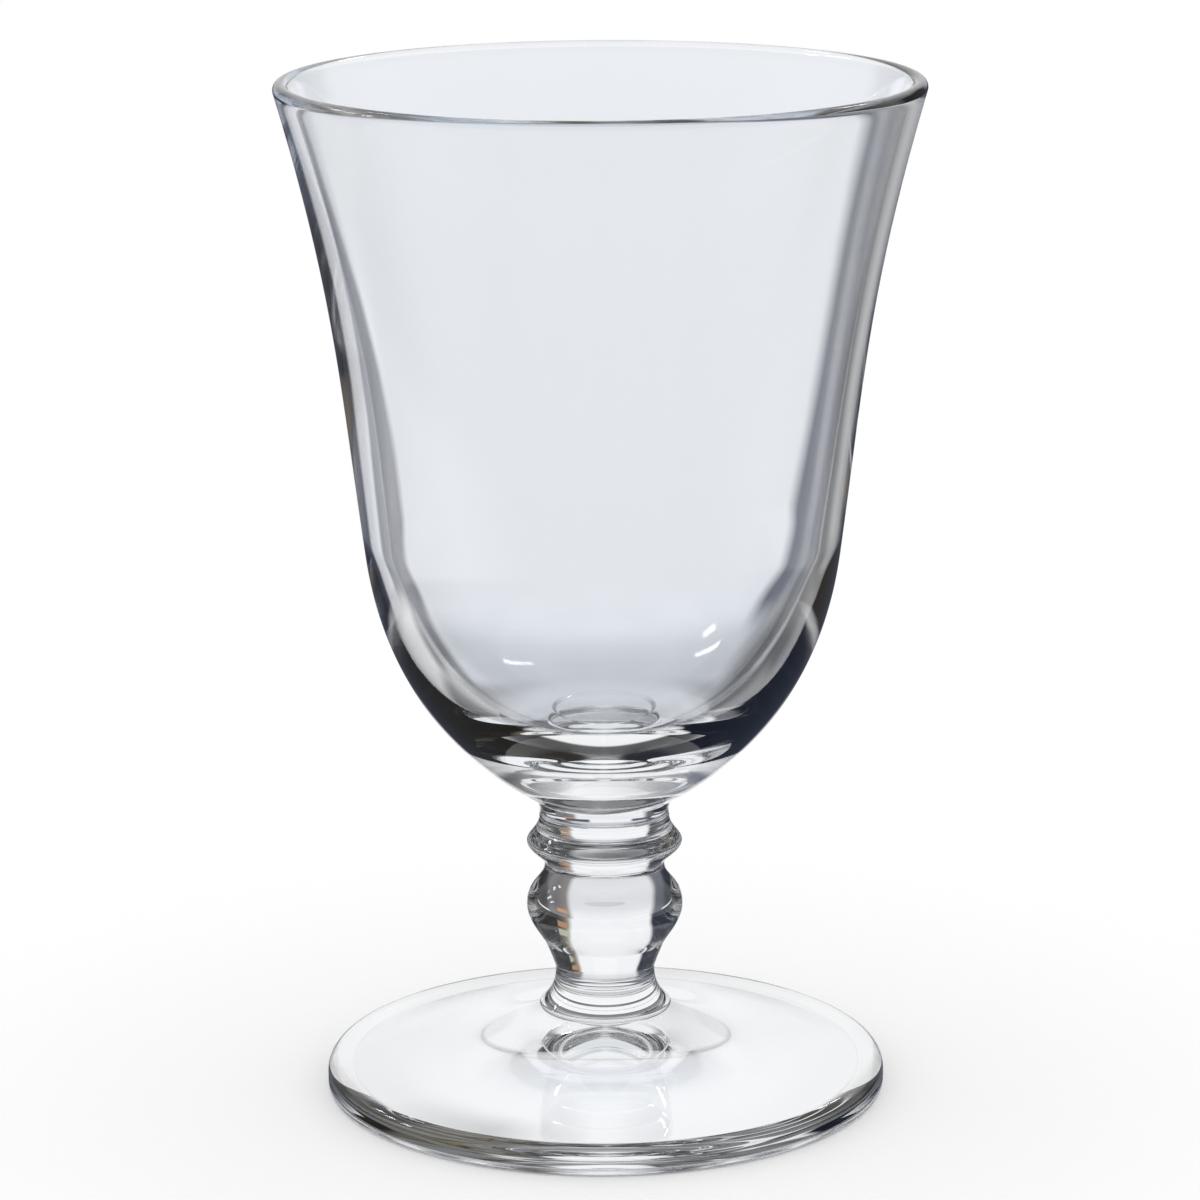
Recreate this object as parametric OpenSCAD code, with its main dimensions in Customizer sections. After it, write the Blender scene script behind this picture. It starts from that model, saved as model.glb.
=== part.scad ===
// Stem glass for chilled sake, in clear glass.
// Six gathers sealed hot on one axis, from the bottom up: foot, skirt, knop, ring, collar and bowl.
// Sizes are millimetres. The glass stands on z = 0, and its axis is the z axis.

/* [Bowl] */
// Height of the bowl, from its seal on the stem to the top of the lip
bowl_h = 70.8; // [62:0.2:80]
// Outer diameter across the lip
rim_d = 62; // [56:0.5:68]
// Thickness of the rounded lip
lip_t = 1.5; // [1:0.1:2.2]
// Angle at which the side flares out to the lip, from upright
lip_flare = 15.8; // [8:0.2:24]
// Outer diameter where the round bottom runs into the side
belly_d = 46; // [42:0.2:52]
// Height of that place above the seal
belly_h = 24.8; // [20:0.2:30]
// Lean of the side there, from upright
belly_lean = 7.4; // [2:0.2:12]
// Thickness of the wall, where the round inside of the bottom runs into the side
wall_t = 2.2; // [1.6:0.1:3.2]
// Height of that place above the same place on the outside
inner_rise = 2; // [0:0.2:4]
// Rise of the underside where it leaves the stem, from level
base_rise = 34; // [26:1:42]
// Thickness of the solid heel under the floor
heel_t = 7.4; // [6:0.2:9]
// Diameter of the round press mark in the floor
mark_d = 10.6; // [8:0.2:13]
// Depth of the press mark
mark_depth = 0.3; // [0.1:0.05:0.5]

/* [Stem] */
// Diameter of the seal between the bowl and the collar
bowl_seal_d = 13.2; // [12:0.1:15]
// Height of the collar
collar_h = 1.6; // [1:0.1:4]
// Angle at which the collar draws in from each end, from upright
collar_cup = 12; // [0:1:25]
// Diameter of the seal between the collar and the ring
ring_seal_d = 12.8; // [12:0.1:14.5]
// Height of the ring
ring_h = 4.8; // [3.8:0.1:7]
// Diameter of the ring at its crest
ring_d = 15.3; // [14.5:0.1:18]
// Height of that crest above the ring's lower seal
ring_crest_h = 2.1; // [1.6:0.1:2.8]
// Angle at which the ring's underside spreads from its lower seal, from upright
ring_spread = 20; // [0:1:30]
// Diameter of the seal between the ring and the knop
neck_d = 11.8; // [10.5:0.1:13.5]
// Height of the knop
knop_h = 8.2; // [7:0.1:12]
// Diameter of the knop at its crest
knop_d = 15.4; // [14:0.1:19]
// Height of that crest above the knop's lower seal
knop_crest_h = 3.8; // [2.8:0.1:5]
// Angle at which the knop spreads from its lower seal, from upright
knop_spread = 31; // [24:1:40]
// Diameter of the seal between the knop and the skirt
knop_seal_d = 11.8; // [11:0.1:13.5]
// Height of the skirt
skirt_h = 6.8; // [5.6:0.1:9]
// Angle at which the skirt opens to that seal, from upright
skirt_opening = 21; // [10:1:30]
// Diameter of the skirt's waist, the narrowest place of the stem
waist_d = 9.8; // [8.5:0.1:11]
// Height of the waist above the foot
waist_h = 3.8; // [2.6:0.1:5]
// Diameter of the skirt at its rounded lower edge
skirt_d = 13; // [12:0.1:16]
// Angle at which the skirt spreads to that edge, from upright
skirt_spread = 48; // [35:1:60]
// Radius of the skirt's lower edge
skirt_edge_r = 0.35; // [0.2:0.05:0.5]

/* [Foot] */
// Diameter of the foot
foot_d = 55.2; // [48:0.2:62]
// Height of the foot's edge
edge_h = 3.1; // [2.6:0.1:4.5]
// Radius of the edge's upper rounding
edge_top_r = 1.5; // [0.8:0.1:1.7]
// Radius of the edge's lower rounding
edge_base_r = 0.7; // [0.3:0.1:0.9]
// Fall of the foot's top where it meets the edge, from level
edge_fall = 7; // [3:0.5:10]
// Height of the foot's middle, where the skirt is sealed on
middle_h = 7.8; // [6.5:0.1:10]
// Fall of the foot's top where it leaves the skirt, from level
middle_fall = 24; // [15:1:32]
// Width of the flat ring that the glass stands on
rest_w = 2; // [1.6:0.2:5]
// Depth of the hollow under the foot, at its middle
hollow_depth = 3.8; // [2.8:0.1:4.6]
// Fall of the hollow where it meets the flat ring, from level
hollow_fall = 8; // [4:0.5:12]

/* [Curves] */
// Fullness of the bowl's underside near the seal
base_pull = 0.14; // [0.05:0.01:0.3]
// Fullness of the bowl's underside near the belly
belly_pull = 0.56; // [0.4:0.01:0.65]
// Fullness of the side above the belly
side_pull = 0.36; // [0.2:0.01:0.5]
// Fullness of the side below the lip
lip_pull = 0.44; // [0.2:0.01:0.5]
// Fullness of the inside near the floor
floor_pull = 0.34; // [0.25:0.01:0.45]
// Fullness of the inside below the side
inside_pull = 0.38; // [0.3:0.01:0.5]
// Fullness of the flanks of the collar and of the skirt below its waist
flank_pull = 0.36; // [0.2:0.01:0.45]
// Fullness of the skirt above its waist, towards each end
waist_pull = 0.27; // [0.15:0.01:0.4]
// Fullness of the knop below its crest, towards each end
knop_low_pull = 0.33; // [0.2:0.01:0.4]
// Fullness of the knop above its crest
knop_high_pull = 0.5; // [0.3:0.01:0.6]
// Fullness of the knop below the neck
neck_pull = 0.44; // [0.2:0.01:0.5]
// Fullness of the ring below its crest, towards each end
ring_low_pull = 0.24; // [0.15:0.01:0.4]
// Fullness of the ring above its crest
ring_high_pull = 0.19; // [0.1:0.01:0.4]
// Fullness of the ring below the collar
ring_top_pull = 0.51; // [0.3:0.01:0.6]
// Fullness of the foot's top
top_pull = 0.34; // [0.2:0.01:0.45]
// Fullness of the hollow under the foot, at its middle
crown_pull = 0.12; // [0.05:0.01:0.3]
// Fullness of the hollow towards the flat ring
hollow_pull = 0.45; // [0.3:0.01:0.5]
// Straight steps in each curve
curve_steps = 18; // [8:1:40]
// Straight steps in each rounded edge
edge_steps = 10; // [4:1:24]

/* [Hidden] */
clear_glass = [0.90, 0.93, 0.96, 0.4];
upright = 90;

// Heights of the seals, stacked from the foot up
skirt_z = middle_h;
knop_z = skirt_z + skirt_h;
ring_z = knop_z + knop_h;
collar_z = ring_z + ring_h;
bowl_z = collar_z + collar_h;

// Both sides of the seal between the skirt and the foot end at the skirt's rounded edge
foot_seal_r = skirt_d / 2 - skirt_edge_r;

// Middle of the rounded lip, and the height of the bowl's floor and belly
lip_middle = [(rim_d - lip_t) / 2, bowl_z + bowl_h - lip_t / 2];
floor_z = bowl_z + heel_t;
belly_z = bowl_z + belly_h;

// Inner and outer radius of the ring that the glass stands on
rest_outer_r = foot_d / 2 - edge_base_r;
rest_inner_r = rest_outer_r - rest_w;

// Point at a distance from another, in a direction measured from level
function beside(point, angle, distance) = point + distance * [cos(angle), sin(angle)];

// Curve that leaves one point at an angle and reaches the next at another.
// A pull sets how long it keeps each angle, as a share of the straight way.
function curve(from, from_angle, to, to_angle, from_pull, to_pull) =
    let (
        way = norm(to - from),
        leave = beside(from, from_angle, from_pull * way),
        reach = beside(to, to_angle, -to_pull * way)
    )
    [
        for (i = [0:curve_steps])
            let (t = i / curve_steps, s = 1 - t)
                s ^ 3 * from + 3 * s ^ 2 * t * leave + 3 * s * t ^ 2 * reach + t ^ 3 * to
    ];

// Part of a circle, from one angle to another
function arc(middle, radius, from_angle, to_angle) =
    [for (i = [0:edge_steps]) beside(middle, from_angle + (to_angle - from_angle) * i / edge_steps, radius)];

// The same points from last to first, and all but the first or the last of them
function backwards(points) = [for (i = [len(points) - 1:-1:0]) points[i]];
function after_first(points) = [for (i = [1:len(points) - 1]) points[i]];
function before_last(points) = [for (i = [0:len(points) - 2]) points[i]];

// Solid of glass turned about the axis
module turned(outline) {
    color(clear_glass)
        rotate_extrude($fn = 180)
            polygon(outline);
}

// Base with a rounded edge, a top that rises to the middle and a hollow below that follows the top
module foot() {
    top_middle = [foot_d / 2 - edge_top_r, edge_h - edge_top_r];
    base_middle = [rest_outer_r, edge_base_r];
    rounded_top = arc(top_middle, edge_top_r, 0, upright - edge_fall);
    edge_end = rounded_top[edge_steps];
    rise = curve(edge_end, 180 - edge_fall, [foot_seal_r, middle_h], 180 - middle_fall, top_pull, top_pull);
    hollow = curve([0, hollow_depth], 0, [rest_inner_r, 0], -hollow_fall, crown_pull, hollow_pull);
    turned(concat(
        hollow,
        arc(base_middle, edge_base_r, -upright, 0),
        before_last(rounded_top),
        rise,
        [[0, middle_h]]
    ));
}

// Lower end of the stem, drawn in to a waist and spread to a rounded edge on the foot
module skirt() {
    edge_middle = [foot_seal_r, skirt_z + skirt_edge_r];
    rounded_edge = arc(edge_middle, skirt_edge_r, -upright, upright - skirt_spread);
    edge_end = rounded_edge[edge_steps];
    waist = [waist_d / 2, skirt_z + waist_h];
    top = [knop_seal_d / 2, knop_z];
    flank = curve(edge_end, upright + skirt_spread, waist, upright, flank_pull, flank_pull);
    opening = curve(waist, upright, top, upright - skirt_opening, waist_pull, waist_pull);
    turned(concat([[0, skirt_z]], before_last(rounded_edge), flank, after_first(opening), [[0, knop_z]]));
}

// Solid that swells from one seal to a crest and draws in to the next.
// Its four pulls belong to the base, the crest from below, the crest from above and the top.
module swelling(base, base_angle, crest, top, pulls) {
    lower = curve(base, base_angle, crest, upright, pulls[0], pulls[1]);
    upper = curve(crest, upright, top, upright, pulls[2], pulls[3]);
    turned(concat([[0, base[1]]], lower, after_first(upper), [[0, top[1]]]));
}

// Bulb of the stem
module knop() {
    swelling(
        [knop_seal_d / 2, knop_z], upright - knop_spread,
        [knop_d / 2, knop_z + knop_crest_h],
        [neck_d / 2, ring_z],
        [knop_low_pull, knop_low_pull, knop_high_pull, neck_pull]
    );
}

// Round ring above the knop
module ring() {
    swelling(
        [neck_d / 2, ring_z], upright - ring_spread,
        [ring_d / 2, ring_z + ring_crest_h],
        [ring_seal_d / 2, collar_z],
        [ring_low_pull, ring_low_pull, ring_high_pull, ring_top_pull]
    );
}

// Wafer between the ring and the bowl, drawn in at the middle
module collar() {
    side = curve(
        [ring_seal_d / 2, collar_z], upright + collar_cup,
        [bowl_seal_d / 2, bowl_z], upright - collar_cup,
        flank_pull, flank_pull
    );
    turned(concat([[0, collar_z]], side, [[0, bowl_z]]));
}

// Bell with a rounded lip, a wall that thickens downwards and a solid heel
module bowl() {
    belly = [belly_d / 2, belly_z];
    side_angle = upright - belly_lean;
    lip_angle = upright - lip_flare;
    lip = arc(lip_middle, lip_t / 2, -lip_flare, 180 - lip_flare);
    underside = curve([bowl_seal_d / 2, bowl_z], base_rise, belly, side_angle, base_pull, belly_pull);
    side = curve(belly, side_angle, lip[0], lip_angle, side_pull, lip_pull);
    inner_belly = beside(belly, side_angle, inner_rise) - [wall_t, 0];
    mark_edge = [mark_d / 2, floor_z];
    inner_floor = curve(mark_edge, 0, inner_belly, side_angle, floor_pull, inside_pull);
    inner_side = curve(inner_belly, side_angle, lip[edge_steps], lip_angle, side_pull, lip_pull);
    turned(concat(
        [[0, bowl_z]],
        underside,
        after_first(before_last(side)),
        lip,
        after_first(backwards(inner_side)),
        after_first(backwards(inner_floor)),
        [mark_edge - mark_depth * [1, 1], [0, floor_z - mark_depth]]
    ));
}

foot();
skirt();
knop();
ring();
collar();
bowl();
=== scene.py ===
# %% [markdown]
# A clear stem glass for cold sake, drawn as a lesson in turned surfaces. The real glass is six gathers
# of one clear melt, sealed hot on one axis: foot, skirt, knop, ring, collar and bowl. Each gather is a
# body of revolution, so each is one outline carried round the axis. The frame gives the solids that
# were worked out before, and every surface here takes the place of one of them, in metres and in the
# same frame.

# %% Load the frame and keep its box
import math

import bpy
import numpy as np
from mathutils import Matrix


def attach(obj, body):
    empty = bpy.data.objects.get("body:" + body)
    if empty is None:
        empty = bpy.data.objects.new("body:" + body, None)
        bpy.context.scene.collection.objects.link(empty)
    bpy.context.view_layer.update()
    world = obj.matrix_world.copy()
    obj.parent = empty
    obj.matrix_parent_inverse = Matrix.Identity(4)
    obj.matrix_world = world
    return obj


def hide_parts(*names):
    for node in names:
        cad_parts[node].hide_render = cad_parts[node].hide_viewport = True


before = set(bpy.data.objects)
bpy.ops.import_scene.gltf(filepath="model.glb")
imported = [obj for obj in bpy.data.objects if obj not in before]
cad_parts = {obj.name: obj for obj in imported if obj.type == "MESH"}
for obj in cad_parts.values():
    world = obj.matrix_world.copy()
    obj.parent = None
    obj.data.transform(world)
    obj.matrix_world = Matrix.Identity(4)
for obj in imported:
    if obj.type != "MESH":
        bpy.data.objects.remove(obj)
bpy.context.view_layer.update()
MM = 0.001
print("solids:", sorted(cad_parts))

# %% [markdown]
# The camera comes first, because every later choice is judged through it. It stands 43 centimetres in
# front of the glass, half as high again as the lip, and looks down by 13.7 degrees. A long lens keeps
# the lip and the foot close to their true proportions. The picture leans by a third of a degree.

# %% Place the camera
SENSOR, FOCAL_PIXELS, FRAME_PIXELS = 36.0, 4570, 1200
LOOKS_DOWN, LEANS = 13.70, -0.33
camera_data = bpy.data.cameras.new("camera")
camera_data.sensor_fit = "HORIZONTAL"
camera_data.sensor_width = SENSOR
camera_data.lens = SENSOR * FOCAL_PIXELS / FRAME_PIXELS
camera_data.clip_start = 0.01
camera_data.clip_end = 20.0
camera = bpy.data.objects.new("camera", camera_data)
stand = Matrix.Translation((-0.3 * MM, -431.8 * MM, 154.4 * MM))
tilt = Matrix.Rotation(math.radians(90 - LOOKS_DOWN), 4, "X")
lean = Matrix.Rotation(math.radians(LEANS), 4, "Z")
camera.matrix_world = stand @ tilt @ lean
bpy.context.scene.collection.objects.link(camera)
bpy.context.scene.camera = camera
print("lens in mm:", round(camera_data.lens, 1))

# %% [markdown]
# Every outline is drawn in the half plane of radius and height, in millimetres. A Screw modifier could
# turn it, but a grid worked out at once keeps the poles as single points, lets a wall be uneven on
# purpose and closes the seam by counting modulo the number of steps. Three strokes are enough: a
# straight line, a round edge, and a curve that leaves one point in a given direction and reaches
# another in a given direction.

# %% Strokes of an outline
def line(a, b, steps=10):
    """Points from a to b: a plus t times the way to b, with t in even steps from 0 to 1."""
    t = np.linspace(0, 1, steps + 1)[:, None]
    return (1 - t) * np.array(a, float) + t * np.array(b, float)


def heading(angle):
    """The unit step at an angle in degrees, counted from outwards to upwards: its cosine and its sine."""
    return np.array([np.cos(np.radians(angle)), np.sin(np.radians(angle))])


def edge(centre, radius, start, end, steps=16):
    """A round edge: the centre plus the radius times the cosine and sine of angles from start to end."""
    angles = np.radians(np.linspace(start, end, steps + 1))
    return np.array(centre, float) + radius * np.stack([np.cos(angles), np.sin(angles)], 1)


def curve(a, leaves, b, arrives, pull_a, pull_b, steps=48):
    """A cubic Bezier curve: its two handles lie along the leaving and the arriving direction, as long as
    the pull times the distance from a to b, and the four points are weighed by (1-t)^3, 3t(1-t)^2,
    3t^2(1-t) and t^3."""
    a, b = np.array(a, float), np.array(b, float)
    reach = np.linalg.norm(b - a)
    c = a + pull_a * reach * heading(leaves)
    d = b - pull_b * reach * heading(arrives)
    t = np.linspace(0, 1, steps + 1)[:, None]
    return (1 - t) ** 3 * a + 3 * t * (1 - t) ** 2 * c + 3 * t**2 * (1 - t) * d + t**3 * b


def joined(*strokes):
    """The strokes one after another. Each starts where the last one ends, and drops its first point."""
    return np.concatenate([strokes[0], *[s[1:] for s in strokes[1:]]])


print("a quarter edge of 1 mm ends at", np.round(edge((0, 0), 1, 0, 90)[-1], 6).tolist())

# %% [markdown]
# The glass is soda-lime glass, fire-polished after pressing. Its body is one Principled shader with
# full transmission at an index of 1.52, all set as plain numbers so that they survive the export. What
# makes it look pressed and not computed is small: the skin of the melt waves over a few millimetres,
# handling leaves patches that are a trace less sharp, and the ring that the glass stands on is worn
# matt.

# %% The clear glass
def add(tree, kind, **values):
    """A node of that kind in the tree, with the named inputs and settings filled in."""
    node = tree.nodes.new(kind)
    for name, value in values.items():
        if name in node.inputs:
            node.inputs[name].default_value = value
        else:
            setattr(node, name, value)
    return node


def feed(tree, source, socket):
    """Links an output to the socket, or writes a plain number or colour into it."""
    if isinstance(source, bpy.types.NodeSocket):
        tree.links.new(source, socket)
    else:
        socket.default_value = source


def sums(tree, operation, *terms):
    """One Math node: the operation on its terms, which are outputs or plain numbers."""
    node = add(tree, "ShaderNodeMath", operation=operation)
    for term, socket in zip(terms, node.inputs):
        feed(tree, term, socket)
    return node.outputs[0]


def rise(tree, value, start, full):
    """0 up to start, 1 from full and the smooth step 3t^2 - 2t^3 between. It falls if full is lower."""
    node = add(tree, "ShaderNodeMapRange", interpolation_type="SMOOTHSTEP")
    feed(tree, value, node.inputs["Value"])
    node.inputs["From Min"].default_value = start
    node.inputs["From Max"].default_value = full
    return node.outputs["Result"]


GLASS_INDEX = 1.52
HANDLED_BLUR, WORN_BLUR, WORN_HEIGHT = 0.02, 0.18, 0.12 * MM
clear_glass = bpy.data.materials.new("clear_glass")
clear_glass.use_nodes = True
tree = clear_glass.node_tree
body = tree.nodes["Principled BSDF"]
body.inputs["Base Color"].default_value = (0.955, 0.968, 0.985, 1)
body.inputs["Transmission Weight"].default_value = 1.0
body.inputs["IOR"].default_value = GLASS_INDEX
place = add(tree, "ShaderNodeTexCoord").outputs["Object"]

handled = add(tree, "ShaderNodeTexNoise", Scale=70.0, Detail=4.0, Roughness=0.6)
tree.links.new(place, handled.inputs["Vector"])
sheen = sums(tree, "MULTIPLY", rise(tree, handled.outputs["Fac"], 0.55, 0.85), HANDLED_BLUR)
height = add(tree, "ShaderNodeSeparateXYZ")
tree.links.new(place, height.inputs["Vector"])
worn = sums(tree, "MULTIPLY", rise(tree, height.outputs["Z"], WORN_HEIGHT, 0.0), WORN_BLUR)
feed(tree, sums(tree, "MAXIMUM", sheen, worn), body.inputs["Roughness"])

waves = add(tree, "ShaderNodeTexNoise", Scale=110.0, Detail=1.0, Roughness=0.4)
tree.links.new(place, waves.inputs["Vector"])
skin = add(tree, "ShaderNodeBump", Strength=0.12, Distance=0.1 * MM)
tree.links.new(waves.outputs["Fac"], skin.inputs["Height"])
tree.links.new(skin.outputs["Normal"], body.inputs["Normal"])
print("nodes in the clear glass:", len(tree.nodes))

# %% [markdown]
# Where two gathers are sealed hot, the melt runs together and light crosses without a trace. The
# gathers stay separate closed bodies here, so each seal is a pair of round faces. With an index of 1
# such a face bends nothing and mirrors nothing, and the stem reads as one body of glass. The two faces
# of a pair are dished by a hundredth of a millimetre each, because light can't tell which of two faces
# in one place comes first.

# %% The fused seal
fused_seal = bpy.data.materials.new("fused_seal")
fused_seal.use_nodes = True
seal_body = fused_seal.node_tree.nodes["Principled BSDF"]
seal_body.inputs["Base Color"].default_value = (1, 1, 1, 1)
seal_body.inputs["Transmission Weight"].default_value = 1.0
seal_body.inputs["IOR"].default_value = 1.0
seal_body.inputs["Roughness"].default_value = 0.0
SLOPE = 0.1


def seal(radius, z, dish):
    """A sealed end from the axis outwards: level at z + dish, then a fine slope to the rim at z."""
    level = line((0, z + dish), (radius - SLOPE, z + dish), 4)
    return joined(level, line(level[-1], (radius, z), 2))


print("a fused seal has an index of", seal_body.inputs["IOR"].default_value)

# %% [markdown]
# Turning makes the mesh: ring i of the grid is the outline's point i at 256 angles. The first and the
# last point lie on the axis and become one vertex each. The strokes that are seals take the second
# finish. Edges over 35 degrees stay sharp, and the rest is smooth.

# %% Turn an outline
AROUND = 256
SHARP_FROM = 35


def turned(name, strokes, seals=(), sideways=None):
    """The surface (r cos a + s, r sin a, z) for each outline point (r, z) and angle a, where s is how far
    the ring stands off the axis. The faces point outwards if the outline starts at the bottom."""
    outline = joined(*strokes)
    rings = outline[1:-1] * MM
    angles = np.arange(AROUND) * 2 * np.pi / AROUND
    off = np.zeros(len(rings)) if sideways is None else sideways[1:-1] * MM
    x = rings[:, :1] * np.cos(angles) + off[:, None]
    y = rings[:, :1] * np.sin(angles)
    z = np.broadcast_to(rings[:, 1:], x.shape)
    poles = np.array([[0, 0, outline[0, 1]], [0, 0, outline[-1, 1]]]) * MM
    points = np.concatenate([np.stack([x, y, z], -1).reshape(-1, 3), poles])

    grid = np.arange(len(rings) * AROUND).reshape(len(rings), AROUND)
    beside = np.roll(grid, -1, axis=1)
    quads = np.stack([grid[:-1], beside[:-1], beside[1:], grid[1:]], -1).reshape(-1, 4)
    below = np.stack([np.full(AROUND, len(points) - 2), beside[0], grid[0]], -1)
    above = np.stack([np.full(AROUND, len(points) - 1), grid[-1], beside[-1]], -1)

    mesh = bpy.data.meshes.new(name)
    mesh.from_pydata(points, [], quads.tolist() + below.tolist() + above.tolist())
    mesh.update()
    mesh.shade_smooth()
    mesh.set_sharp_from_angle(angle=math.radians(SHARP_FROM))
    mesh.materials.append(clear_glass)
    mesh.materials.append(fused_seal)
    is_seal = np.isin(np.arange(len(strokes)), np.array(seals) % len(strokes))
    by_step = np.repeat(is_seal, [len(s) - 1 for s in strokes])
    finishes = np.repeat(np.concatenate([by_step[1:-1], by_step[[0, -1]]]), AROUND)
    mesh.polygons.foreach_set("material_index", finishes.astype(np.int32))
    piece = bpy.data.objects.new(name, mesh)
    bpy.context.scene.collection.objects.link(piece)
    return piece


def settle(piece, node):
    """The piece takes the solid's place and rides on the one body there is."""
    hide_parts(node)
    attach(piece, "root")
    size = np.array(piece.dimensions) / MM
    print(piece.name, "has", len(piece.data.polygons), "faces and is", np.round(size, 1).tolist(), "mm")


# %% [markdown]
# The foot is a pressed disc with a thick, softly rounded edge and a low cone towards the stem. Below, a
# flat ring at the edge carries the glass, and a hollow follows the top. That makes the foot an even
# sheet of glass, and the white table shows through all of it.

# %% The foot
FOOT_R, SEAL_R, MIDDLE_Z, DISH = 27.6, 6.15, 7.8, 0.01
HOLLOW_R, HOLLOW_Z = 24.9, 3.8
UPPER_ROUND, LOWER_ROUND, EDGE_Z = 1.5, 0.7, 1.6
upper_edge = edge((FOOT_R - UPPER_ROUND, EDGE_Z), UPPER_ROUND, 0, 83)
foot_strokes = [
    curve((0, HOLLOW_Z), 0, (HOLLOW_R, 0), -8, 0.12, 0.45, 64),
    line((HOLLOW_R, 0), (FOOT_R - LOWER_ROUND, 0), 6),
    edge((FOOT_R - LOWER_ROUND, LOWER_ROUND), LOWER_ROUND, -90, 0),
    line((FOOT_R, LOWER_ROUND), (FOOT_R, EDGE_Z), 6),
    upper_edge,
    curve(upper_edge[-1], 173, (SEAL_R, MIDDLE_Z), 156, 0.34, 0.34, 72),
    seal(SEAL_R, MIDDLE_Z, -DISH)[::-1],
]
foot = turned("foot_glass", foot_strokes, seals=[-1])
settle(foot, "foot")

# %% [markdown]
# The skirt is the small gather that joins the stem to the foot. Its lower edge is a bead with a fine
# groove under it, where the hot glass was set down on the foot. From there it draws in to the stem's
# waist, and swells a little again up to the knop, where a crease runs round the stem.

# %% The skirt
KNOP_Z, KNOP_SEAL_R = 14.6, 5.9
WAIST, BEAD_R = (4.9, 11.6), 0.35
bead = edge((SEAL_R, MIDDLE_Z + BEAD_R), BEAD_R, -90, 42)
skirt_strokes = [
    seal(SEAL_R, MIDDLE_Z, DISH),
    bead,
    curve(bead[-1], 138, WAIST, 90, 0.36, 0.36, 40),
    curve(WAIST, 90, (KNOP_SEAL_R, KNOP_Z), 69, 0.27, 0.27, 32),
    seal(KNOP_SEAL_R, KNOP_Z, -DISH)[::-1],
]
skirt = turned("skirt_glass", skirt_strokes, seals=[0, -1])
settle(skirt, "skirt")

# %% [markdown]
# The knop is the stem's main swelling, a pressed ball that starts at the crease and is drawn out to the
# neck above. It acts as a strong lens, which is why its middle shows the bright background and its
# sides turn dark.

# %% The knop
RING_Z, NECK_R, KNOP_R, KNOP_RISE = 22.8, 5.9, 7.7, 3.8
knop_crest = (KNOP_R, KNOP_Z + KNOP_RISE)
knop_strokes = [
    seal(KNOP_SEAL_R, KNOP_Z, DISH),
    curve((KNOP_SEAL_R, KNOP_Z), 59, knop_crest, 90, 0.33, 0.33, 60),
    curve(knop_crest, 90, (NECK_R, RING_Z), 90, 0.50, 0.44, 60),
    seal(NECK_R, RING_Z, -DISH)[::-1],
]
knop = turned("knop_glass", knop_strokes, seals=[0, -1])
settle(knop, "knop")

# %% [markdown]
# The ring is a narrow bead above the knop, with its crest a little below the middle. Two curves that
# meet at the crest give it a rounder underside and a longer slope above.

# %% The ring
COLLAR_Z, RING_SEAL_R, RING_R, RING_RISE = 27.6, 6.4, 7.65, 2.1
ring_crest = (RING_R, RING_Z + RING_RISE)
ring_strokes = [
    seal(NECK_R, RING_Z, DISH),
    curve((NECK_R, RING_Z), 70, ring_crest, 90, 0.24, 0.24, 48),
    curve(ring_crest, 90, (RING_SEAL_R, COLLAR_Z), 90, 0.19, 0.51, 48),
    seal(RING_SEAL_R, COLLAR_Z, -DISH)[::-1],
]
ring = turned("ring_glass", ring_strokes, seals=[0, -1])
settle(ring, "ring")

# %% [markdown]
# The collar is the short drawn-in gather under the bowl. It is one hollow curve between two seals.

# %% The collar
BOWL_Z, BOWL_SEAL_R = 29.2, 6.6
collar_strokes = [
    seal(RING_SEAL_R, COLLAR_Z, DISH),
    curve((RING_SEAL_R, COLLAR_Z), 102, (BOWL_SEAL_R, BOWL_Z), 78, 0.36, 0.36, 32),
    seal(BOWL_SEAL_R, BOWL_Z, -DISH)[::-1],
]
collar = turned("collar_glass", collar_strokes, seals=[0, -1])
settle(collar, "collar")

# %% [markdown]
# The bowl is the glass's main piece: a bell with a fire-polished lip, a wall that grows from 1.5 to 2.2
# millimetres down to the belly and further round the bottom, and a solid heel more than 7 millimetres
# thick under a round press mark. The plunger that pressed it stood a third of a millimetre to one side,
# so one wall is thicker than the other.

# %% The bowl
LIP_R, TOP_Z, LIP_T, FLARE = 31.0, 100.0, 1.5, 15.8
BELLY, BELLY_T, LEAN = np.array([23.0, 54.0]), 2.2, 7.4
MARK_R, MARK_DEPTH, FLOOR_Z, PLUNGER_OFF = 5.3, 0.3, 36.6, 0.33
lip = edge((LIP_R - LIP_T / 2, TOP_Z - LIP_T / 2), LIP_T / 2, -FLARE, 180 - FLARE, 24)
belly_inside = BELLY + 2 * heading(90 - LEAN) - np.array([BELLY_T, 0])
mark_z = FLOOR_Z - MARK_DEPTH
inside = joined(
    line((0, mark_z), (0.9 * MARK_R, mark_z), 8),
    curve((0.9 * MARK_R, mark_z), 0, (1.05 * MARK_R, FLOOR_Z), 0, 0.4, 0.4, 12),
    curve((1.05 * MARK_R, FLOOR_Z), 0, belly_inside, 90 - LEAN, 0.34, 0.38, 72),
    curve(belly_inside, 90 - LEAN, lip[-1], 90 - FLARE, 0.36, 0.44, 72),
)[::-1]
outside = joined(
    curve((BOWL_SEAL_R, BOWL_Z), 34, BELLY, 90 - LEAN, 0.14, 0.56, 72),
    curve(BELLY, 90 - LEAN, lip[0], 90 - FLARE, 0.36, 0.44, 72),
)
bowl_strokes = [seal(BOWL_SEAL_R, BOWL_Z, DISH), outside, lip, inside]
bowl_outline = joined(*bowl_strokes)
within = np.arange(len(bowl_outline)) > len(bowl_outline) - len(inside)
up_the_wall = np.clip((bowl_outline[:, 1] - FLOOR_Z) / (TOP_Z - FLOOR_Z), 0, 1)
plunger = np.where(within, PLUNGER_OFF * np.sin(np.pi * up_the_wall) ** 2, 0.0)
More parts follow.
